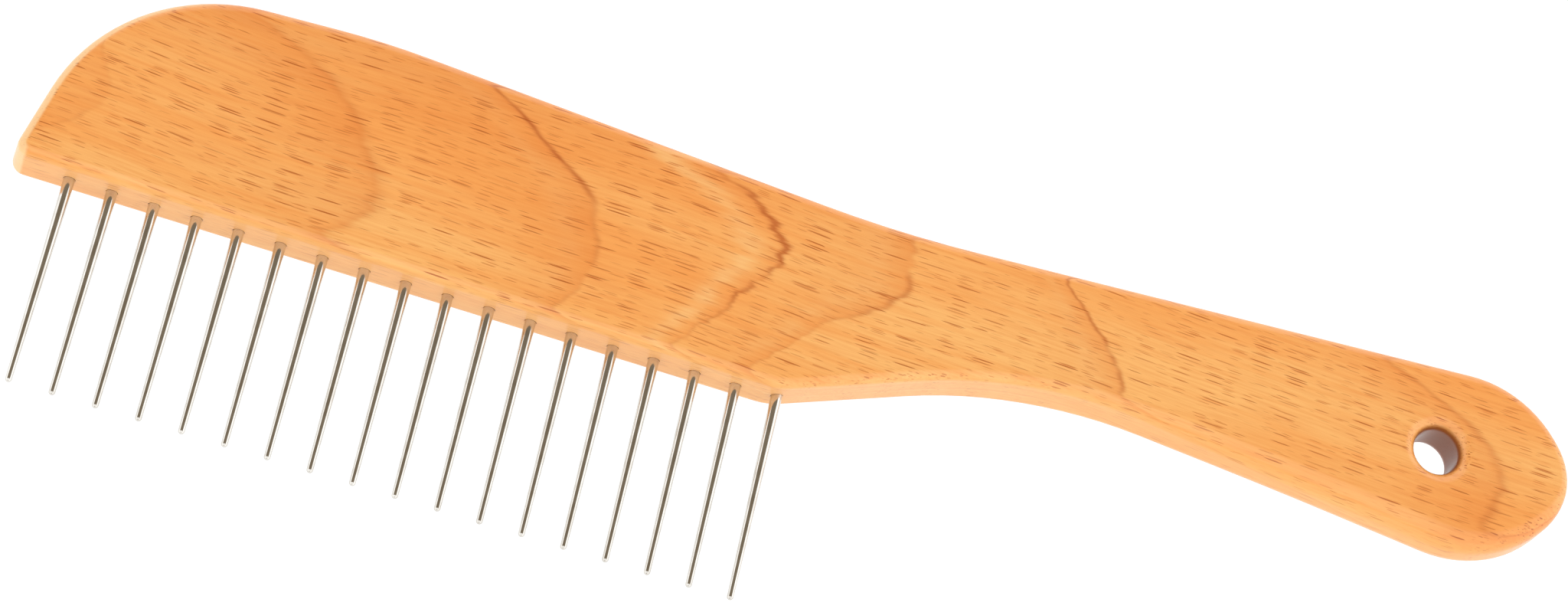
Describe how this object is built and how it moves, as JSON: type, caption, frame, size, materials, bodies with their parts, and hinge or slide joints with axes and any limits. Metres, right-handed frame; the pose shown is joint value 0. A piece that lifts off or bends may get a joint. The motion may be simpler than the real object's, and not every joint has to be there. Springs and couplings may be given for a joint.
{
  "type": "pin comb",
  "caption": "Long-handled wooden pin comb: a flat board back with a row of tapered steel pins along one edge and a hanging hole in the handle.",
  "frame": {"origin": "middle of the hanging hole, at half the thickness of the board", "axes": "+X along the length toward the handle end, -Y toward the pin tips, +Z through the thickness"},
  "size_m": [0.2631, 0.0766, 0.01],
  "materials": {
    "lacquered_wood": "clear satin to semi-gloss lacquer",
    "polished_steel": "polished"
  },
  "bodies": {
    "root": {"wooden_back": "lacquered_wood", "pin_01": "polished_steel", "pin_02": "polished_steel", "pin_03": "polished_steel", "pin_04": "polished_steel", "pin_05": "polished_steel", "pin_06": "polished_steel", "pin_07": "polished_steel", "pin_08": "polished_steel", "pin_09": "polished_steel", "pin_10": "polished_steel", "pin_11": "polished_steel", "pin_12": "polished_steel", "pin_13": "polished_steel", "pin_14": "polished_steel", "pin_15": "polished_steel", "pin_16": "polished_steel", "pin_17": "polished_steel", "pin_18": "polished_steel"}
  },
  "joints": []
}
